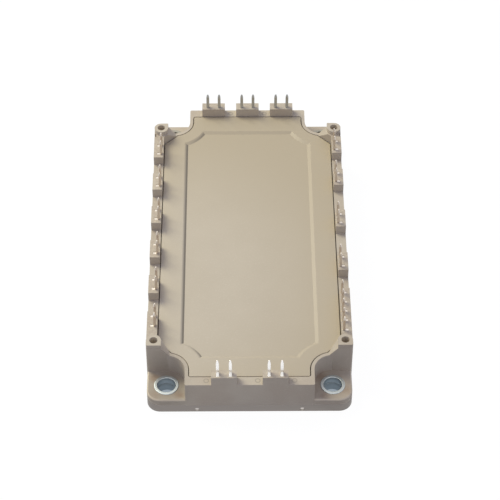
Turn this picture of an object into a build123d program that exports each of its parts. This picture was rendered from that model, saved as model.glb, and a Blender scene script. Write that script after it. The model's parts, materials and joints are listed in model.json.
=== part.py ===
from build123d import *
import math
import os

# Overall format: the long side lies along Y and the base stands on Z = 0
module_length = 122.0
module_width = 62.0
grid = 3.81

# Base plate
plate_thickness = 3.0
plate_corner_radius = 4.0
edge_setback = 0.15
nick_width = 1.3
nick_height = 1.1
nick_depth = 0.2
nick_lift = 0.5
nick_offset = 15.8

# Fixing to the heat sink
fixing_margin = 6.0
fixing_hole = 5.5
sleeve_wall = 1.0
sleeve_stand = 0.25
screw_head_room = 5.65

# Case heights, all measured from the underside of the base plate
tab_top = 5.3
rim_top = 12.4
block_rise = 3.2
boss_top = 17.0

# Case walls in plan
rim_width = 3.15
corner_wall = 1.05
platform_leg = 5.2
end_corner_radius = 0.5
front_corner_radius = 0.5
rear_corner_radius = 2.2
tab_edge = 0.4
ramp_top_offset = 4.3
ramp_foot_offset = 6.95

# Bosses that carry the circuit board
board_end_margin = 13.75
board_hole = 2.5
board_hole_depth = 8.0
boss_radius = 2.25
notch_width = 0.6
notch_length = 1.4
notch_depth = 1.5
notch_gap = 0.65

# Lid
lid_thickness = 2.0
lid_gap = 0.25
lid_corner_radius = 0.8
seat_width = 0.8
panel_depth = 0.5
panel_slope = 1.1
panel_side_margin = 6.9
panel_end_margin = 7.4
panel_corner_room = 11.0

# Terminals
pin_top = 21.2
pin_width = 0.95
pin_thickness = 0.8
side_row_setback = 2.42
end_row_setback = 1.95
pin_taper_length = 1.1
pin_taper_inset = 0.25
step_reach = 1.0
step_height = 1.5
step_depth = 0.1
foot_reach = 5.0
ledge_top = 6.6
ledge_width = 3.6

# Substrates, chips and wires
middle_substrate_length = 34.0
substrate_side_gap = 2.4
substrate_end_gap = 0.3
substrate_gap = 0.6
ceramic_thickness = 0.64
copper_thickness = 0.3
copper_margin = 0.6
copper_gap = 0.8
strip_width = 4.0
end_strip_width = 2.6
chip_thickness = 0.2
igbt_margin = 0.3
diode_margin = 1.1
rectifier_margin = 0.7
wire_width = 0.4
wire_thickness = 0.35
wire_pad = 0.8
wire_rise = 0.9
wire_edge = 1.0
foot_end_margin = 0.5
thermistor_length = 2.0
thermistor_width = 1.25
thermistor_height = 0.6
thermistor_pad = 2.0
thermistor_pad_gap = 1.0
gel_top = 9.4

# Grid places of the pins in each block, counted from the middle of their side
front_blocks = [[-2.5, -1.5], [1.5, 2.5]]
rear_blocks = [[-3.5, -2.5], [-0.5, 0.5], [2.5, 3.5]]
left_blocks = [[-10.5, -9.5], [-6.5, -5.5], [-2.5, -1.5], [1.5, 2.5], [5.5, 6.5], [9.5, 10.5]]
right_blocks = [[-11, -10, -9, -8, -7], [-4, -3], [1, 2], [6, 7], [10, 11]]

# Sizes that follow from the values above
half_width = module_width / 2
half_length = module_length / 2
fixing_x = half_width - fixing_margin
fixing_y = half_length - fixing_margin
board_x = half_width - boss_radius
board_y = half_length - board_end_margin
recess_y = fixing_y - screw_head_room
platform_y = recess_y - platform_leg
block_top = rim_top + block_rise
seat_top = rim_top - lid_thickness
sleeve_radius = fixing_hole / 2 + sleeve_wall
foot_top = ledge_top + pin_thickness
ceramic_bottom = plate_thickness + copper_thickness
copper_bottom = ceramic_bottom + ceramic_thickness
copper_top = copper_bottom + copper_thickness
chip_top = copper_top + chip_thickness
corners = [(-1, -1), (1, -1), (-1, 1), (1, 1)]
fixings = [(sx * fixing_x, sy * fixing_y) for sx, sy in corners]

os.makedirs("parts", exist_ok=True)


def save(builder, name):
    """Labels a finished piece and writes it under its name."""
    builder.part.label = name
    export_step(builder.part, f"parts/{name}.step")


def cut_fixing_recesses(wall):
    """Clears the four corners round the fixing screws, leaving the given wall inside them."""
    room = screw_head_room + wall
    past = half_length
    for sx, sy in corners:
        with Locations((sx * fixing_x, sy * fixing_y)):
            Circle(room, mode=Mode.SUBTRACT)
        with Locations((sx * (fixing_x - room + past / 2), sy * (fixing_y + past / 2))):
            Rectangle(past, past, mode=Mode.SUBTRACT)
        with Locations((sx * (fixing_x + past / 2), sy * (fixing_y - room + past / 2))):
            Rectangle(past, past, mode=Mode.SUBTRACT)


def corner_vertices(sketch, x, y):
    """Finds the outline's points at the given distances from the two middle lines."""
    return [v for v in sketch.vertices() if abs(abs(v.X) - x) < 0.01 and abs(v.Y - y) < 0.01]


# Outer outline of the case above the mounting tabs
with BuildSketch() as case_plan:
    Rectangle(module_width, module_length)
    cut_fixing_recesses(0)
    fillet(corner_vertices(case_plan, half_width, recess_y), rear_corner_radius)
    fillet(corner_vertices(case_plan, half_width, -recess_y), front_corner_radius)
    for end in (-half_length, half_length):
        fillet(corner_vertices(case_plan, fixing_x - screw_head_room, end), end_corner_radius)

# Outline of the pocket that takes the lid
with BuildSketch() as pocket_plan:
    Rectangle(module_width - 2 * rim_width, module_length - 2 * rim_width)
    with Locations(*[(sx * (half_width - rim_width), sy * recess_y) for sx, sy in corners]):
        Rectangle(math.sqrt(2) * platform_leg, math.sqrt(2) * platform_leg, rotation=45, mode=Mode.SUBTRACT)
    cut_fixing_recesses(corner_wall)
    for end in (-half_length + rim_width, half_length - rim_width):
        fillet(corner_vertices(pocket_plan, fixing_x - screw_head_room - corner_wall, end), lid_corner_radius)

# Outline of the hollow under the seat of the lid
with BuildSketch() as hollow_plan:
    add(pocket_plan.sketch)
    offset(amount=-seat_width, mode=Mode.REPLACE)

# Outline of the floor between the ledges that carry the feet of the terminals
ledge_inset = rim_width + seat_width + ledge_width
with BuildSketch() as floor_plan:
    add(hollow_plan.sketch)
    Rectangle(module_width - 2 * ledge_inset, module_length - 2 * ledge_inset, mode=Mode.INTERSECT)

# Outline of the tabs and of the base plate, a little inside the case walls
with BuildSketch() as tab_plan:
    RectangleRounded(module_width - 2 * edge_setback, module_length - 2 * edge_setback, plate_corner_radius)


def wall_places(blocks, row_distance, turn):
    """Gives the place of each pin of a wall, with local X pointing into the case."""
    inward = Vector(math.cos(math.radians(turn)), math.sin(math.radians(turn)))
    along = Vector(-inward.Y, inward.X)
    start = inward * -row_distance
    ends = along.X + along.Y
    return [[Location(start + along * (ends * n * grid), (0, 0, turn)) for n in block] for block in blocks]


terminal_places = {
    "front": wall_places(front_blocks, half_length - end_row_setback, 90),
    "rear": wall_places(rear_blocks, half_length - end_row_setback, -90),
    "left": wall_places(left_blocks, half_width - side_row_setback, 0),
    "right": wall_places(right_blocks, half_width - side_row_setback, 180),
}


# One terminal: a strip that stands in the wall, with a step outside it and its foot on the ledge inside
step_top = block_top - step_depth
with BuildPart() as pin_strip:
    with BuildSketch(Plane.XZ):
        with BuildLine():
            Polyline(
                (-pin_thickness / 2, ledge_top),
                (foot_reach, ledge_top),
                (foot_reach, foot_top),
                (pin_thickness / 2, foot_top),
                (pin_thickness / 2, pin_top),
                (-pin_thickness / 2, pin_top),
                (-pin_thickness / 2, step_top),
                (-pin_thickness / 2 - step_reach, step_top),
                (-pin_thickness / 2 - step_reach, step_top - step_height),
                (-pin_thickness / 2, step_top - step_height),
                close=True,
            )
        make_face()
    extrude(amount=pin_width / 2, both=True)

with BuildPart() as terminal:
    add(pin_strip.part)
    tip = terminal.faces().sort_by(Axis.Z)[-1]
    chamfer(tip.edges(), pin_taper_inset, pin_taper_length, reference=tip)

# Room that the case leaves for one terminal, open above the step
with BuildPart() as terminal_room:
    add(pin_strip.part)
    with Locations((-(pin_thickness + step_reach) / 2, 0, step_top)):
        Box(
            step_reach,
            pin_width,
            step_depth + block_rise,
            align=(Align.CENTER, Align.CENTER, Align.MIN),
        )

for side, blocks in terminal_places.items():
    for number, places in enumerate(blocks, start=1):
        with BuildPart() as terminals:
            with Locations(*places):
                add(terminal.part)
        save(terminals, f"terminals_{side}_{number}")


# Base plate, with the marks of the tie bars that held it in its strip
with BuildPart() as base_plate:
    with BuildSketch():
        add(tab_plan.sketch)
    extrude(amount=plate_thickness)
    with Locations(*fixings):
        Hole(fixing_hole / 2)
    nick_y = half_length - edge_setback
    with Locations(*[(sx * nick_offset, sy * nick_y, nick_lift) for sx, sy in corners]):
        Box(
            nick_width,
            2 * nick_depth,
            nick_height,
            align=(Align.CENTER, Align.CENTER, Align.MIN),
            mode=Mode.SUBTRACT,
        )
save(base_plate, "base_plate")


# Sleeves that take the load of the fixing screws
for (sx, sy), name in zip(corners, ("front_left", "front_right", "rear_left", "rear_right")):
    with BuildPart() as sleeve:
        with BuildSketch(Plane.XY.offset(plate_thickness)):
            with Locations((sx * fixing_x, sy * fixing_y)):
                Circle(sleeve_radius)
                Circle(fixing_hole / 2, mode=Mode.SUBTRACT)
        extrude(amount=tab_top + sleeve_stand - plate_thickness)
    save(sleeve, f"sleeve_{name}")


def block_rectangles():
    """Draws the terminal blocks in plan, the corner ones reaching to the recess of the tab."""
    for blocks, sign in ((left_blocks, -1), (right_blocks, 1)):
        for block in blocks:
            low = (min(block) - 0.5) * grid
            high = (max(block) + 0.5) * grid
            if block is blocks[0]:
                low = -recess_y
            if block is blocks[-1]:
                high = recess_y
            with Locations((sign * half_width, (low + high) / 2)):
                Rectangle(2 * rim_width, high - low)
    for blocks, sign in ((front_blocks, -1), (rear_blocks, 1)):
        for block in blocks:
            low = (min(block) - 0.5) * grid
            high = (max(block) + 0.5) * grid
            with Locations(((low + high) / 2, sign * half_length)):
                Rectangle(high - low, 2 * rim_width)
    for sx, sy in corners:
        with Locations((sx * (half_width - ramp_foot_offset / 2), sy * (platform_y + recess_y) / 2)):
            Rectangle(ramp_foot_offset, recess_y - platform_y)


# Case: one moulding with rim, tabs, blocks, bosses, lid seat and inner ledges
with BuildPart() as housing:
    with BuildSketch(Plane.XY.offset(plate_thickness)):
        add(tab_plan.sketch)
    extrude(amount=tab_top - plate_thickness)
    chamfer(housing.edges().group_by(Axis.Z)[-1], tab_edge)
    with BuildSketch(Plane.XY.offset(plate_thickness)):
        add(case_plan.sketch)
    extrude(amount=rim_top - plate_thickness)

    # Raised blocks and corner platforms on the rim
    with BuildSketch(Plane.XY.offset(rim_top)):
        block_rectangles()
        add(case_plan.sketch, mode=Mode.INTERSECT)
        add(pocket_plan.sketch, mode=Mode.SUBTRACT)
    extrude(amount=block_rise)

    # Ramps where the corner platforms run down to the rim
    with BuildSketch(Plane.XZ):
        for sx in (-1, 1):
            with BuildLine():
                Polyline(
                    (sx * (half_width - ramp_top_offset), block_top),
                    (sx * (half_width - ramp_foot_offset), rim_top),
                    (sx * (half_width - ramp_foot_offset), block_top),
                    close=True,
                )
            make_face()
    extrude(amount=recess_y, both=True, mode=Mode.SUBTRACT)

    # Bosses for the circuit board
    with BuildSketch(Plane.XY.offset(block_top)):
        for sx, sy in corners:
            with Locations((sx * board_x, sy * board_y)):
                Circle(boss_radius)
            with Locations((sx * board_x, sy * (board_y + recess_y) / 2)):
                Rectangle(2 * boss_radius, recess_y - board_y)
        add(case_plan.sketch, mode=Mode.INTERSECT)
    extrude(amount=boss_top - block_top)

    # Small slots beside the rear bosses, where the mould shuts off
    notch_y = board_y - boss_radius + notch_gap
    with Locations(*[(sx * (half_width - notch_width / 2), notch_y - notch_length / 2, block_top) for sx in (-1, 1)]):
        Box(
            notch_width,
            notch_length,
            notch_depth,
            align=(Align.CENTER, Align.CENTER, Align.MAX),
            mode=Mode.SUBTRACT,
        )

    # Lid pocket, hollow above the ledges, and floor opening between them
    with BuildSketch(Plane.XY.offset(seat_top)):
        add(pocket_plan.sketch)
    extrude(amount=lid_thickness, mode=Mode.SUBTRACT)
    with BuildSketch(Plane.XY.offset(ledge_top)):
        add(hollow_plan.sketch)
    extrude(amount=seat_top - ledge_top, mode=Mode.SUBTRACT)
    with BuildSketch(Plane.XY.offset(plate_thickness)):
        add(floor_plan.sketch)
    extrude(amount=ledge_top - plate_thickness, mode=Mode.SUBTRACT)

    # Screw holes in the bosses and seats for the sleeves
    with Locations(*[(sx * board_x, sy * board_y, boss_top) for sx, sy in corners]):
        Hole(board_hole / 2, depth=board_hole_depth)
    with Locations(*[(x, y, tab_top) for x, y in fixings]):
        Hole(sleeve_radius, depth=tab_top - plate_thickness)

    # Slots moulded round the terminals
    for blocks in terminal_places.values():
        for places in blocks:
            with Locations(*places):
                add(terminal_room.part, mode=Mode.SUBTRACT)
save(housing, "housing")


# Lid with its shallow centre panel
with BuildPart() as lid:
    with BuildSketch(Plane.XY.offset(seat_top)):
        add(pocket_plan.sketch)
        offset(amount=-lid_gap, mode=Mode.REPLACE)
    extrude(amount=lid_thickness)
    for level, shift in ((rim_top, 0), (rim_top - panel_depth, panel_slope)):
        with BuildSketch(Plane.XY.offset(level)):
            lid_width = module_width - 2 * rim_width
            lid_length = module_length - 2 * rim_width
            Rectangle(lid_width - 2 * (panel_side_margin + shift), lid_length - 2 * (panel_end_margin + shift))
            with Locations(*fixings):
                Circle(panel_corner_room + shift, mode=Mode.SUBTRACT)
    loft(ruled=True, mode=Mode.SUBTRACT)
save(lid, "lid")


# Substrates fill the floor between the ledges and the recesses of the tabs
substrate_width = module_width - 2 * (ledge_inset + substrate_side_gap)
substrate_end = recess_y - corner_wall - seat_width - substrate_end_gap
outer_substrate_length = substrate_end - substrate_gap - middle_substrate_length / 2

# Chips on each substrate, row by row from the front, left and right of the middle strip
outer_rows = [("igbt", "diode")] * 3
middle_rows = [("rectifier_diode", "rectifier_diode")] * 3 + [("igbt", "diode")]
substrate_layouts = [
    (-1, outer_substrate_length, outer_rows),
    (0, middle_substrate_length, middle_rows),
    (1, outer_substrate_length, outer_rows),
]
chip_margins = {"igbt": igbt_margin, "diode": diode_margin, "rectifier_diode": rectifier_margin}
island_width = (substrate_width - strip_width) / 2 - copper_margin - copper_gap
island_x = strip_width / 2 + copper_gap + island_width / 2
chip_counts = {kind: 0 for kind in chip_margins}
landings = []
wire_spans = [[], [], []]
potted = []

for index, (end, length, rows) in enumerate(substrate_layouts):
    number = index + 1
    centre = end * (substrate_end - length / 2)
    # The outer substrates have a strip across their outer end, the middle one has the pads of the thermistor
    rows_cut = end_strip_width + copper_gap if end else 0
    strip_cut = 0 if end else thermistor_pad + copper_gap
    rows_length = length - 2 * copper_margin - rows_cut
    rows_centre = centre - end * rows_cut / 2
    island_pitch = (rows_length + copper_gap) / len(rows)
    row_places = [rows_centre + (n - (len(rows) - 1) / 2) * island_pitch for n in range(len(rows))]
    end_y = centre + end * (length / 2 - copper_margin - end_strip_width / 2)
    pad_y = centre + length / 2 - copper_margin - thermistor_pad / 2

    with BuildPart() as substrate:
        with Locations((0, centre, ceramic_bottom)):
            Box(substrate_width, length, ceramic_thickness, align=(Align.CENTER, Align.CENTER, Align.MIN))
    save(substrate, f"substrate_{number}")

    with BuildPart() as copper_bottom_plate:
        with Locations((0, centre, plate_thickness)):
            Box(
                substrate_width - 2 * copper_margin,
                length - 2 * copper_margin,
                copper_thickness,
                align=(Align.CENTER, Align.CENTER, Align.MIN),
            )
    save(copper_bottom_plate, f"copper_bottom_{number}")

    with BuildPart() as copper_top_plate:
        with BuildSketch(Plane.XY.offset(copper_bottom)):
            with Locations(*[(side * island_x, row) for side in (-1, 1) for row in row_places]):
                Rectangle(island_width, island_pitch - copper_gap)
            with Locations((0, rows_centre - strip_cut / 2)):
                Rectangle(strip_width, rows_length - strip_cut)
            if end:
                with Locations((0, end_y)):
                    Rectangle(substrate_width - 2 * copper_margin, end_strip_width)
            else:
                pad_width = (strip_width - thermistor_pad_gap) / 2
                with Locations(*[(side * (thermistor_pad_gap + pad_width) / 2, pad_y) for side in (-1, 1)]):
                    Rectangle(pad_width, thermistor_pad)
        extrude(amount=copper_thickness)
    save(copper_top_plate, f"copper_top_{number}")
    potted += [substrate.part, copper_bottom_plate.part, copper_top_plate.part]

    if end:
        landings.append((index, 0, end_y, substrate_width - 2 * copper_margin, end_strip_width))
    else:
        with BuildPart() as thermistor:
            with Locations((0, pad_y, copper_top)):
                Box(
                    thermistor_length,
                    thermistor_width,
                    thermistor_height,
                    align=(Align.CENTER, Align.CENTER, Align.MIN),
                )
        save(thermistor, "thermistor")
        potted.append(thermistor.part)

    for row, kinds in zip(row_places, rows):
        for side, kind in zip((-1, 1), kinds):
            chip_counts[kind] += 1
            chip_size = island_pitch - copper_gap - 2 * chip_margins[kind]
            with BuildPart() as chip:
                with Locations((side * island_x, row, copper_top)):
                    Box(chip_size, chip_size, chip_thickness, align=(Align.CENTER, Align.CENTER, Align.MIN))
            save(chip, f"{kind}_{chip_counts[kind]}")
            potted.append(chip.part)
            landings.append((index, side * island_x, row, island_width, island_pitch - copper_gap))
            start = Vector(side * island_x, row, chip_top)
            finish = Vector(side * (strip_width / 2 - wire_edge), row, copper_top)
            wire_spans[index].append((start, finish))


def landing_point(foot, island):
    """Gives the point of a copper island that a wire from a terminal foot reaches first."""
    index, x, y, width, length = island
    room_x = width / 2 - wire_edge
    room_y = length / 2 - wire_edge
    return Vector(
        min(max(foot.X, x - room_x), x + room_x),
        min(max(foot.Y, y - room_y), y + room_y),
        copper_top,
    )


# Each terminal foot is bonded to the copper island nearest to it
for blocks in terminal_places.values():
    for places in blocks:
        for place in places:
            foot = (place * Location((foot_reach - foot_end_margin - wire_pad, 0, foot_top))).position
            island = min(landings, key=lambda item: (landing_point(foot, item) - foot).length)
            wire_spans[island[0]].append((foot, landing_point(foot, island)))

for number, spans in enumerate(wire_spans, start=1):
    with BuildPart() as bond_wires:
        for start, finish in spans:
            reach = Vector(finish.X - start.X, finish.Y - start.Y)
            across = reach.cross(Vector(0, 0, 1))
            with BuildSketch(Plane((start.X, start.Y, 0), x_dir=reach, z_dir=across)):
                with BuildLine():
                    Polyline(
                        (0, start.Z),
                        (wire_rise, start.Z + wire_rise),
                        (reach.length - wire_pad / 2, finish.Z),
                        (reach.length + wire_pad / 2, finish.Z),
                        (reach.length - wire_pad / 2, finish.Z + wire_thickness),
                        (wire_rise, start.Z + wire_rise + wire_thickness),
                        close=True,
                    )
                make_face()
        extrude(amount=wire_width / 2, both=True)
    save(bond_wires, f"bond_wires_{number}")
    potted.append(bond_wires.part)


# Soft gel that fills the hollow to above the wires
with BuildPart() as gel:
    with BuildSketch(Plane.XY.offset(ledge_top)):
        add(hollow_plan.sketch)
    extrude(amount=gel_top - ledge_top)
    with BuildSketch(Plane.XY.offset(plate_thickness)):
        add(floor_plan.sketch)
    extrude(amount=ledge_top - plate_thickness)
    for blocks in terminal_places.values():
        for places in blocks:
            with Locations(*places):
                add(pin_strip.part, mode=Mode.SUBTRACT)
    add(potted, mode=Mode.SUBTRACT)
save(gel, "gel")
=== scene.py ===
import json
import math

import bpy
from mathutils import Matrix, Vector

MM = 0.001

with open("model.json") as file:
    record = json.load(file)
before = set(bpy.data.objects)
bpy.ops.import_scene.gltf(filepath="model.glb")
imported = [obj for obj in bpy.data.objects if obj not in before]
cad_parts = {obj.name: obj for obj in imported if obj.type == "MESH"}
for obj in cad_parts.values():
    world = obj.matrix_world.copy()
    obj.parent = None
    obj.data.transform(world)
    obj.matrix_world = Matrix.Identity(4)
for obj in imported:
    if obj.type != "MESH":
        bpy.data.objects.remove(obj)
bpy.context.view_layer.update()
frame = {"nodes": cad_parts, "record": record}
nodes = frame["nodes"]


# Camera: seen from in front and above, along the long side of the module
CAMERA_PITCH = 45.81
CAMERA_YAW = 0.487
CAMERA_ROLL = 0.127
CAMERA_DISTANCE = 611.07
CAMERA_TARGET = (0.489, -1.014, 8.0)
CAMERA_LENS = 137.77

# Light: a warm soft box behind and to the left, and a cool sky
MODULE_MIDDLE = (0, 0, 8)
KEY_PLACE = (-420, 330, 620)
KEY_SIZE = 420
KEY_POWER = 4.65
KEY_COLOUR = "#FFFBE1"
SKY_COLOUR = "#E1E4FF"
SKY_STRENGTH = 0.585
WHITE = "#FFFFFF"

# Floor: its size, the patch under the module, painted darker than the floor and glowing faintly blue-grey
# where it shows through the holes, and for each the share and colour of its glow
FLOOR_COLOUR = "#B4B4B4"
FLOOR_SIZE = 4000
SHADED_WIDTH = 57
SHADED_LENGTH = 117
FLOOR_GLOW = 1.1
FLOOR_FINISHES = [("matt_studio_floor", 0.88, WHITE), ("floor_patch_painted_shade_glow", 0.34, "#D4E4F0")]

# Plastics, what has settled on them, and painted shade and highlight on them
PPS_ROUGHNESS = 0.55
PPS_IOR = 1.6
CASE_COLOUR = "#C2B7A3"
CASE_CLOUD_COLOUR = "#B9AC98"
LID_COLOUR = "#C4B9A4"
LID_CLOUD_COLOUR = "#C1B6A1"
# Painted shade that darkens the lid away from its left part
LID_FALLOFF_COLOUR = "#B6A98F"
FIBRE_COLOUR = "#D2C8B8"
# Painted shade on the tabs and on the left slope of the lid panel, and also the colour of the ejector rings
SHADE_AND_RING_COLOUR = "#6F685C"
FLUX_COLOUR = "#A29082"
# Painted highlight on the sloped edge of the tabs
EDGE_HIGHLIGHT_COLOUR = "#E8D9BC"
STAIN_COLOUR = "#8A6A50"

# Sizes of the patterns in millimetres
FLOW_CLOUD = 11
FIBRE_FLECK = 0.5
STAIN_RAG = 1.6
STAIN_SHIFT = 2.0
FLUX_MOTTLE = 0.9
MOULD_GRAIN = 0.25
PLATING_CLOUD = 1.2
ROLLING_LINE = 0.3

# Heights on the case and lid where marks lie
TAB_TOP = 5.3
TAB_EDGE = 5.1
RIM_TOP = 12.4
BLOCK_TOP = 15.6
PANEL_FOOT = 11.9

# Painted shade on the lid: the place where it stays brightest, nearest the key light, and how far from it the
# darkening starts and is full
LID_BRIGHTEST_PLACE = (-30, -20, 12)
FALLOFF_START = 20
FALLOFF_FULL = 75

# Stains and painted shade on the tabs: place and radius in millimetres, strength and colour
TAB_STAINS_AND_SHADE = [
    # Painted shade: the two wide grey-brown spots darken the tabs where less light falls, the left tab most
    ((-25.0, -56.0, 8.0), 12.0, 0.6, SHADE_AND_RING_COLOUR),
    ((25.0, -56.0, 8.0), 12.0, 0.2, SHADE_AND_RING_COLOUR),
    ((-25.0, -55.0, TAB_TOP), 9.0, 0.22, STAIN_COLOUR),
    ((25.0, -55.0, TAB_TOP), 9.0, 0.18, STAIN_COLOUR),
    ((-29.2, -52.0, TAB_TOP), 2.6, 0.55, STAIN_COLOUR),
    ((-21.2, -58.6, TAB_TOP), 2.6, 0.55, STAIN_COLOUR),
    ((-28.6, -58.8, TAB_TOP), 2.6, 0.3, STAIN_COLOUR),
    ((21.6, -51.8, TAB_TOP), 3.0, 0.45, STAIN_COLOUR),
    ((29.0, -57.2, TAB_TOP), 3.2, 0.4, STAIN_COLOUR),
    ((22.4, -59.2, TAB_TOP), 2.4, 0.35, STAIN_COLOUR),
]

# Rings that the ejector pins left on the rim
EJECTOR_MARKS = [(-12.9, -59.3), (2.4, -59.3), (13.3, -59.3), (-5.7, 59.3), (5.7, 59.3)]
EJECTOR_RADIUS = 0.7

# Base plate: colours, with painted shade on its edges and painted light in its holes and nicks, fixing holes
# and the nicks of its tie bars
PLATE_EDGE_SHADE_COLOUR = "#8A8480"
PLATE_FACE_COLOUR = "#B9B4AA"
# Painted light inside the fixing holes
HOLE_WALL_LIGHT_COLOUR = "#B6BCC0"
# Painted highlight on the tie-bar nicks
NICK_GLINT_COLOUR = "#E4DEDA"
PLATE_ROUGHNESS = 0.5
PLATE_MIDDLE = 1.5
FIXING_HOLES = [(-25, -55), (25, -55), (-25, 55), (25, 55)]
NICK_MARKS = [(-15.8, -60.8), (15.8, -60.8), (-15.8, 60.8), (15.8, 60.8)]
NICK_HEIGHT = 1.05

# Moulded and stamped edges are slightly rounded, so they catch a thin line of light
EDGE_ROUNDS = {"housing": 0.15, "lid": 0.15, "base_plate": 0.2, "sleeve": 0.2, "terminals": 0.06}
SHARP_ANGLE = 40
FLAT_ANGLE = 0.5
WELD_REACH = 0.001


def linear(hex_colour):
    """Turns an sRGB hex colour into the linear values that the shaders take."""
    parts = [int(hex_colour[i : i + 2], 16) / 255 for i in (1, 3, 5)]
    return (*[c / 12.92 if c <= 0.04045 else ((c + 0.055) / 1.055) ** 2.4 for c in parts], 1.0)


def pattern_scale(size_mm):
    """Gives the texture scale at which one cell of the pattern is this many millimetres wide."""
    return 1 / (size_mm * MM)


def add_node(tree, kind, inputs=None, **settings):
    """Adds a node, applies its settings, and fills or links its inputs."""
    node = tree.nodes.new(kind)
    for name, value in settings.items():
        setattr(node, name, value)
    for name, value in (inputs or {}).items():
        if isinstance(value, bpy.types.NodeSocket):
            tree.links.new(value, node.inputs[name])
        else:
            node.inputs[name].default_value = value
    return node


def start_material(name):
    """Makes an empty material and returns it with its node tree and its output node."""
    material = bpy.data.materials.new(name)
    material.use_nodes = True
    tree = material.node_tree
    tree.nodes.clear()
    return material, tree, add_node(tree, "ShaderNodeOutputMaterial")


def mixed_colour(tree, share, first, second):
    """Mixes two colours, given as sockets or values, and returns the result."""
    return add_node(tree, "ShaderNodeMix", {"Factor": share, 6: first, 7: second}, data_type="RGBA").outputs[2]


def distance_from(tree, place, centre_mm):
    """Gives the distance of the shaded point from a point of the module."""
    centre = tuple(c * MM for c in centre_mm)
    return add_node(tree, "ShaderNodeVectorMath", {0: place, 1: centre}, operation="DISTANCE").outputs["Value"]


def how_far_off(tree, length, wanted_mm):
    """Gives how much a length differs from the wanted one, either way."""
    over = add_node(tree, "ShaderNodeMath", {0: length, 1: wanted_mm * MM}, operation="SUBTRACT").outputs[0]
    return add_node(tree, "ShaderNodeMath", {0: over}, operation="ABSOLUTE").outputs[0]


def soft_spot(tree, distance, inner_mm, outer_mm, strength):
    """Gives a round mask that is full inside one radius and fades out at the other."""
    limits = {
        "Value": distance,
        "From Min": inner_mm * MM,
        "From Max": outer_mm * MM,
        "To Min": strength,
        "To Max": 0.0,
    }
    return add_node(tree, "ShaderNodeMapRange", limits, interpolation_type="SMOOTHSTEP").outputs["Result"]


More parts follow.
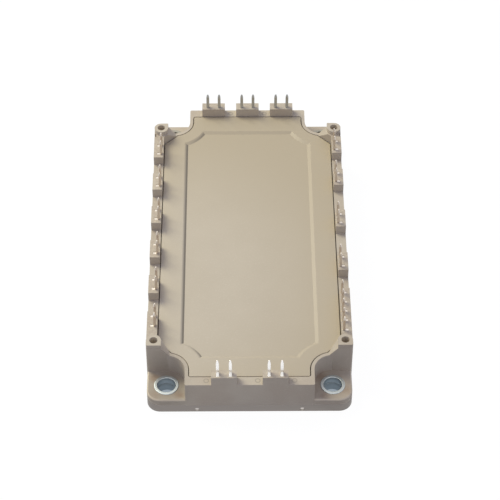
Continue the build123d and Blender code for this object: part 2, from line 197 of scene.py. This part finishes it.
def moulded_pps(name, colour, cloud_colour, with_case_marks_and_painted_light):
    """Glass filled polyphenylene sulphide from an eroded mould: matt tan, faint clouds, fine pale fibres."""
    material, tree, output = start_material(name)
    place = add_node(tree, "ShaderNodeTexCoord").outputs["Object"]
    height = add_node(tree, "ShaderNodeSeparateXYZ", {"Vector": place}).outputs["Z"]
    facing = add_node(tree, "ShaderNodeNewGeometry").outputs["True Normal"]
    # Flow clouds are about a centimetre across
    clouds = add_node(
        tree, "ShaderNodeTexNoise", {"Vector": place, "Scale": pattern_scale(FLOW_CLOUD), "Detail": 3.0}
    )
    cloud_share = add_node(
        tree, "ShaderNodeMapRange", {"Value": clouds.outputs["Fac"], "From Min": 0.35, "From Max": 0.65}
    )
    tint = mixed_colour(tree, cloud_share.outputs["Result"], linear(colour), linear(cloud_colour))
    # Glass fibres are hundredths of a millimetre thick, drawn as 0.5 mm flecks so that they show
    flecks = add_node(
        tree, "ShaderNodeTexNoise", {"Vector": place, "Scale": pattern_scale(FIBRE_FLECK), "Detail": 1.0}
    )
    fleck_share = add_node(
        tree,
        "ShaderNodeMapRange",
        {"Value": flecks.outputs["Fac"], "From Min": 0.55, "From Max": 0.8, "To Max": 0.35},
    )
    tint = mixed_colour(tree, fleck_share.outputs["Result"], tint, linear(FIBRE_COLOUR))
    if with_case_marks_and_painted_light:
        # Stains on the tabs, and the painted shade over them, have ragged edges
        ragged = add_node(
            tree, "ShaderNodeTexNoise", {"Vector": place, "Scale": pattern_scale(STAIN_RAG), "Detail": 2.0}
        )
        shifted = add_node(
            tree,
            "ShaderNodeVectorMath",
            {0: ragged.outputs["Color"], 1: (STAIN_SHIFT * MM, STAIN_SHIFT * MM, 0), 2: place},
            operation="MULTIPLY_ADD",
        )
        # Paints the tab stains, and the painted shade on the tabs
        for (x, y, z), radius, strength, stain_and_shade_colour in TAB_STAINS_AND_SHADE:
            centre = (x + STAIN_SHIFT / 2, y + STAIN_SHIFT / 2, z)
            away = distance_from(tree, shifted.outputs["Vector"], centre)
            mask = soft_spot(tree, away, inner_mm=0, outer_mm=radius, strength=strength)
            tint = mixed_colour(tree, mask, tint, linear(stain_and_shade_colour))
        # Flux and fingers have left the tops of the pin blocks mottled
        from_top = how_far_off(tree, height, BLOCK_TOP)
        block_share = soft_spot(tree, from_top, inner_mm=0.1, outer_mm=0.3, strength=1.0)
        mottle = add_node(
            tree, "ShaderNodeTexNoise", {"Vector": place, "Scale": pattern_scale(FLUX_MOTTLE), "Detail": 2.0}
        )
        mottle_share = add_node(
            tree,
            "ShaderNodeMapRange",
            {"Value": mottle.outputs["Fac"], "From Min": 0.4, "From Max": 0.62, "To Max": 0.35},
        )
        flux = add_node(
            tree, "ShaderNodeMath", {0: block_share, 1: mottle_share.outputs["Result"]}, operation="MULTIPLY"
        )
        tint = mixed_colour(tree, flux.outputs[0], tint, linear(FLUX_COLOUR))
        # Ejector pins leave faint rings on the rim
        for x, y in EJECTOR_MARKS:
            away = distance_from(tree, place, (x, y, RIM_TOP))
            from_ring = how_far_off(tree, away, EJECTOR_RADIUS)
            ring = soft_spot(tree, from_ring, inner_mm=0.05, outer_mm=0.3, strength=0.4)
            tint = mixed_colour(tree, ring, tint, linear(SHADE_AND_RING_COLOUR))
        # Painted highlight along the edge of the tabs, which slopes at about 45 degrees
        upward = add_node(tree, "ShaderNodeSeparateXYZ", {"Vector": facing}).outputs["Z"]
        sloped = add_node(tree, "ShaderNodeMath", {0: upward, 1: 0.7, 2: 0.1}, operation="COMPARE").outputs[0]
        from_edge = how_far_off(tree, height, TAB_EDGE)
        at_edge = soft_spot(tree, from_edge, inner_mm=0.25, outer_mm=0.4, strength=0.55)
        tab_edge_highlight = add_node(tree, "ShaderNodeMath", {0: sloped, 1: at_edge}, operation="MULTIPLY").outputs[0]
        tint = mixed_colour(tree, tab_edge_highlight, tint, linear(EDGE_HIGHLIGHT_COLOUR))
    else:
        # Painted shade: the lid is painted darker and yellower away from its left part, nearest the key light;
        # with the larger radius first, the mask is full outside it
        away = distance_from(tree, place, LID_BRIGHTEST_PLACE)
        lid_falloff = soft_spot(tree, away, inner_mm=FALLOFF_FULL, outer_mm=FALLOFF_START, strength=1.0)
        tint = mixed_colour(tree, lid_falloff, tint, linear(LID_FALLOFF_COLOUR))
        # Painted shade at the foot of the left slope of its panel, the slope that faces away from the key
        # light
        sideways = add_node(tree, "ShaderNodeSeparateXYZ", {"Vector": facing}).outputs["X"]
        slope = add_node(tree, "ShaderNodeMapRange", {"Value": sideways, "From Min": 0.2, "From Max": 0.4})
        from_foot = how_far_off(tree, height, PANEL_FOOT)
        foot = soft_spot(tree, from_foot, inner_mm=0.15, outer_mm=0.45, strength=0.9)
        left_slope_shade = add_node(tree, "ShaderNodeMath", {0: slope.outputs["Result"], 1: foot}, operation="MULTIPLY")
        tint = mixed_colour(tree, left_slope_shade.outputs[0], tint, linear(SHADE_AND_RING_COLOUR))
    # Eroded grain is about a tenth of a millimetre, drawn at 0.25 mm so that it shows
    grain = add_node(
        tree, "ShaderNodeTexNoise", {"Vector": place, "Scale": pattern_scale(MOULD_GRAIN), "Detail": 2.0}
    )
    bump = add_node(
        tree, "ShaderNodeBump", {"Height": grain.outputs["Fac"], "Strength": 0.15, "Distance": 0.02 * MM}
    )
    surface = add_node(
        tree,
        "ShaderNodeBsdfPrincipled",
        {"Base Color": tint, "Roughness": PPS_ROUGHNESS, "IOR": PPS_IOR, "Normal": bump.outputs["Normal"]},
    )
    tree.links.new(surface.outputs["BSDF"], output.inputs["Surface"])
    return material


def nickel_plate_shade_and_glints(name):
    """Nickel plated copper: satin silver on the rolled faces, darker brown grey on the sheared edges, which
    are duller and also painted darker for the dim surroundings they reflect.
    """
    material, tree, output = start_material(name)
    place = add_node(tree, "ShaderNodeTexCoord").outputs["Object"]
    facing = add_node(tree, "ShaderNodeNewGeometry").outputs["True Normal"]
    upward = add_node(tree, "ShaderNodeSeparateXYZ", {"Vector": facing}).outputs["Z"]
    flatness = add_node(tree, "ShaderNodeMath", {0: upward}, operation="ABSOLUTE").outputs[0]
    flat_share = add_node(tree, "ShaderNodeMapRange", {"Value": flatness, "From Min": 0.4, "From Max": 0.8})
    # Partly painted shade: the sheared edges are painted darker than their dull finish alone, for the dark
    # surroundings they reflect
    edge_shade_tint, face_tint = linear(PLATE_EDGE_SHADE_COLOUR), linear(PLATE_FACE_COLOUR)
    tint = mixed_colour(tree, flat_share.outputs["Result"], edge_shade_tint, face_tint)
    # Painted light: the walls of the fixing holes are painted brighter and bluer than the other sheared edges
    for x, y in FIXING_HOLES:
        away = distance_from(tree, place, (x, y, PLATE_MIDDLE))
        painted_bright = soft_spot(tree, away, inner_mm=3.5, outer_mm=4.0, strength=1.0)
        tint = mixed_colour(tree, painted_bright, tint, linear(HOLE_WALL_LIGHT_COLOUR))
    # Painted highlight: the nicks of the tie bars are painted bright, where their small cut facets catch the
    # light
    for x, y in NICK_MARKS:
        away = distance_from(tree, place, (x, y, NICK_HEIGHT))
        painted_bright = soft_spot(tree, away, inner_mm=0.3, outer_mm=0.8, strength=0.7)
        tint = mixed_colour(tree, painted_bright, tint, linear(NICK_GLINT_COLOUR))
    # Rolling lines run along the plate, hundredths of a millimetre apart, drawn coarser so that they show
    stretched = add_node(tree, "ShaderNodeMapping", {"Vector": place, "Scale": (1, 0.03, 1)})
    lines = add_node(
        tree,
        "ShaderNodeTexNoise",
        {"Vector": stretched.outputs["Vector"], "Scale": pattern_scale(ROLLING_LINE), "Detail": 2.0},
    )
    bump = add_node(
        tree, "ShaderNodeBump", {"Height": lines.outputs["Fac"], "Strength": 0.12, "Distance": 0.02 * MM}
    )
    surface = add_node(
        tree,
        "ShaderNodeBsdfPrincipled",
        {"Base Color": tint, "Roughness": PLATE_ROUGHNESS, "Metallic": 1.0, "Normal": bump.outputs["Normal"]},
    )
    tree.links.new(surface.outputs["BSDF"], output.inputs["Surface"])
    return material


def turned_metal(name, colour, worn_colour, roughness, grain_mm):
    """Plated metal: the plating colour, slightly clouded, with fine tool marks drawn at the given size."""
    material, tree, output = start_material(name)
    place = add_node(tree, "ShaderNodeTexCoord").outputs["Object"]
    clouds = add_node(
        tree, "ShaderNodeTexNoise", {"Vector": place, "Scale": pattern_scale(PLATING_CLOUD), "Detail": 2.0}
    )
    tint = mixed_colour(tree, clouds.outputs["Fac"], linear(colour), linear(worn_colour))
    marks = add_node(tree, "ShaderNodeTexNoise", {"Vector": place, "Scale": pattern_scale(grain_mm)})
    bump = add_node(
        tree, "ShaderNodeBump", {"Height": marks.outputs["Fac"], "Strength": 0.1, "Distance": 0.01 * MM}
    )
    surface = add_node(
        tree,
        "ShaderNodeBsdfPrincipled",
        {"Base Color": tint, "Roughness": roughness, "Metallic": 1.0, "Normal": bump.outputs["Normal"]},
    )
    tree.links.new(surface.outputs["BSDF"], output.inputs["Surface"])
    return material


def plain_finish(name, colour, roughness, metallic=0.0, **extra):
    """A finish for the potted pieces under the lid: colour, gloss and metal or not."""
    material, tree, output = start_material(name)
    settings = {"Base Color": linear(colour), "Roughness": roughness, "Metallic": metallic, **extra}
    surface = add_node(tree, "ShaderNodeBsdfPrincipled", settings)
    tree.links.new(surface.outputs["BSDF"], output.inputs["Surface"])
    return material


finishes = {
    "case_plastic": moulded_pps("moulded_pps_case", CASE_COLOUR, CASE_CLOUD_COLOUR, with_case_marks_and_painted_light=True),
    "lid_plastic": moulded_pps("moulded_pps_lid", LID_COLOUR, LID_CLOUD_COLOUR, with_case_marks_and_painted_light=False),
    "nickel_plate": nickel_plate_shade_and_glints("nickel_plated_copper"),
    # Turned steel with blue passivated zinc: cool silver, fairly sharp reflections
    "sleeve_metal": turned_metal("zinc_plated_steel", "#C6CBCE", "#B8BFC4", roughness=0.42, grain_mm=0.3),
    # Stamped copper with tin: near white silver, soft gloss
    "pin_metal": turned_metal("tinned_copper", "#FBF9F6", "#F2F1F0", roughness=0.25, grain_mm=0.2),
    # Fired alumina: white and matt
    "alumina": plain_finish("fired_alumina", "#EEEDE8", roughness=0.6),
    # Etched copper foil: satin red brown
    "copper_foil": plain_finish("etched_copper", "#D08A62", roughness=0.35, metallic=1.0),
    # Passivated silicon: dark grey with a smooth gloss
    "silicon": plain_finish("passivated_silicon", "#4A4D55", roughness=0.25),
    # Sintered metal oxide: dark and dull
    "thermistor_body": plain_finish("sintered_oxide", "#2E2E30", roughness=0.6),
    # Drawn aluminium wire: bright and smooth
    "wire_aluminium": plain_finish("drawn_aluminium", "#D6D8DA", roughness=0.25, metallic=1.0),
    # Cured silicone gel: clear and wet looking
    "silicone_gel": plain_finish(
        "silicone_gel", "#F4F6F6", roughness=0.05, **{"Transmission Weight": 1.0, "IOR": 1.41}
    ),
}

# Painted shade: darker copies of the tin and zinc finishes, standing in for how the light falls on the side
# and far pins and the far sleeves
shaded_side_tin = turned_metal("tin_shaded_side_copy", "#E8E1DA", "#CFC4BA", roughness=0.34, grain_mm=0.2)
shaded_copies = {
    # Pin rows along the sides: painted shade, a darker brownish copy of the tin with a dull shine
    "terminals_left": shaded_side_tin,
    "terminals_right": shaded_side_tin,
    # Far pins: painted shade, a grey copy of the tin
    "terminals_rear": turned_metal("tin_shaded_rear_copy", "#C4C8CE", "#B3B8C0", roughness=0.3, grain_mm=0.2),
    # Far sleeves: painted shade, a darker tan grey copy of the zinc
    "sleeve_rear": turned_metal("zinc_shaded_rear_copy", "#A39F96", "#918E86", roughness=0.5, grain_mm=0.3),
}

for part in frame["record"]["subparts"]:
    node = nodes[part["node"]]
    finish = finishes[part["material_slot"]]
    for prefix, shaded_finish in shaded_copies.items():
        if part["node"].startswith(prefix):
            finish = shaded_finish
    if not node.material_slots:
        node.data.materials.append(finish)
    for holder in node.material_slots:
        holder.material = finish


for name, node in nodes.items():
    kind = next((kind for kind in EDGE_ROUNDS if name.startswith(kind)), None)
    if kind:
        weld = node.modifiers.new("join_faces", "WELD")
        weld.merge_threshold = WELD_REACH * MM
        flat = node.modifiers.new("join_flat_faces", "DECIMATE")
        flat.decimate_type = "DISSOLVE"
        flat.angle_limit = math.radians(FLAT_ANGLE)
        edge = node.modifiers.new("edge_round", "BEVEL")
        edge.width = EDGE_ROUNDS[kind] * MM
        edge.segments = 2
        edge.limit_method = "ANGLE"
        edge.angle_limit = math.radians(SHARP_ANGLE)
        edge.harden_normals = True


def seen_directly(tree):
    """Gives 1 for the rays that show a surface to the eye, straight, in a gloss or through glass."""
    paths = add_node(tree, "ShaderNodeLightPath").outputs
    camera_or_gloss = {0: paths["Is Camera Ray"], 1: paths["Is Glossy Ray"]}
    seen = add_node(tree, "ShaderNodeMath", camera_or_gloss, operation="ADD").outputs[0]
    or_through_glass = {0: seen, 1: paths["Is Transmission Ray"]}
    return add_node(tree, "ShaderNodeMath", or_through_glass, operation="ADD", use_clamp=True).outputs[0]


def make_floor():
    """Floor that shows white and takes the shadow of the module, with a painted darker patch under it that
    glows faintly blue-grey through the holes.
    """
    outer = FLOOR_SIZE / 2 * MM
    inner = (SHADED_WIDTH / 2 * MM, SHADED_LENGTH / 2 * MM)
    turns = [(-1, -1), (1, -1), (1, 1), (-1, 1)]
    points = [(sx * outer, sy * outer, 0) for sx, sy in turns]
    points += [(sx * inner[0], sy * inner[1], 0) for sx, sy in turns]
    faces = [(4, 5, 6, 7)] + [(i, (i + 1) % 4, (i + 1) % 4 + 4, i + 4) for i in range(4)]
    mesh = bpy.data.meshes.new("studio_floor")
    mesh.from_pydata(points, [], faces)
    floor = bpy.data.objects.new("studio_floor", mesh)
    bpy.context.scene.collection.objects.link(floor)

    for name, glow_share, glow_colour in FLOOR_FINISHES:
        material, tree, output = start_material(name)
        share = add_node(tree, "ShaderNodeMath", {0: seen_directly(tree), 1: glow_share}, operation="MULTIPLY")
        matt = add_node(tree, "ShaderNodeBsdfDiffuse", {"Color": linear(FLOOR_COLOUR)})
        glow = add_node(tree, "ShaderNodeEmission", {"Color": linear(glow_colour), "Strength": FLOOR_GLOW})
        mixed = add_node(
            tree, "ShaderNodeMixShader", {0: share.outputs[0], 1: matt.outputs[0], 2: glow.outputs[0]}
        )
        tree.links.new(mixed.outputs[0], output.inputs["Surface"])
        mesh.materials.append(material)
    mesh.polygons[0].material_index = 1


def make_sky():
    """Cool even light from all round, and plain white where it is seen directly."""
    world = bpy.data.worlds.new("studio_sky")
    bpy.context.scene.world = world
    world.use_nodes = True
    tree = world.node_tree
    tree.nodes.clear()
    output = add_node(tree, "ShaderNodeOutputWorld")
    light = add_node(tree, "ShaderNodeBackground", {"Color": linear(SKY_COLOUR), "Strength": SKY_STRENGTH})
    white = add_node(tree, "ShaderNodeBackground", {"Color": linear(WHITE), "Strength": 1.0})
    mixed = add_node(
        tree, "ShaderNodeMixShader", {0: seen_directly(tree), 1: light.outputs[0], 2: white.outputs[0]}
    )
    tree.links.new(mixed.outputs[0], output.inputs["Surface"])


def add_soft_box(name, place, size, power, colour):
    """Adds a square area lamp that faces the middle of the module."""
    lamp = bpy.data.lights.new(name, "AREA")
    lamp.size = size * MM
    lamp.energy = power
    lamp.color = linear(colour)[:3]
    holder = bpy.data.objects.new(name, lamp)
    bpy.context.scene.collection.objects.link(holder)
    holder.location = Vector(place) * MM
    aim = Vector(MODULE_MIDDLE) * MM - holder.location
    holder.rotation_euler = aim.to_track_quat("-Z", "Y").to_euler()


def make_camera():
    """Camera of the photograph: it looks at the module from in front and above."""
    camera = bpy.data.cameras.new("photo_camera")
    camera.lens = CAMERA_LENS
    camera.sensor_width = 36.0
    camera.clip_end = 20.0
    holder = bpy.data.objects.new("photo_camera", camera)
    bpy.context.scene.collection.objects.link(holder)
    turn = (
        Matrix.Rotation(math.radians(-CAMERA_YAW), 4, "Z")
        @ Matrix.Rotation(math.radians(90 - CAMERA_PITCH), 4, "X")
        @ Matrix.Rotation(math.radians(CAMERA_ROLL), 4, "Z")
    )
    away = turn @ Vector((0, 0, CAMERA_DISTANCE * MM))
    holder.matrix_world = Matrix.Translation(Vector(CAMERA_TARGET) * MM + away) @ turn
    bpy.context.scene.camera = holder


make_floor()
make_sky()
add_soft_box("key_soft_box", KEY_PLACE, KEY_SIZE, KEY_POWER, KEY_COLOUR)
make_camera()
bpy.context.scene.view_settings.view_transform = "Standard"
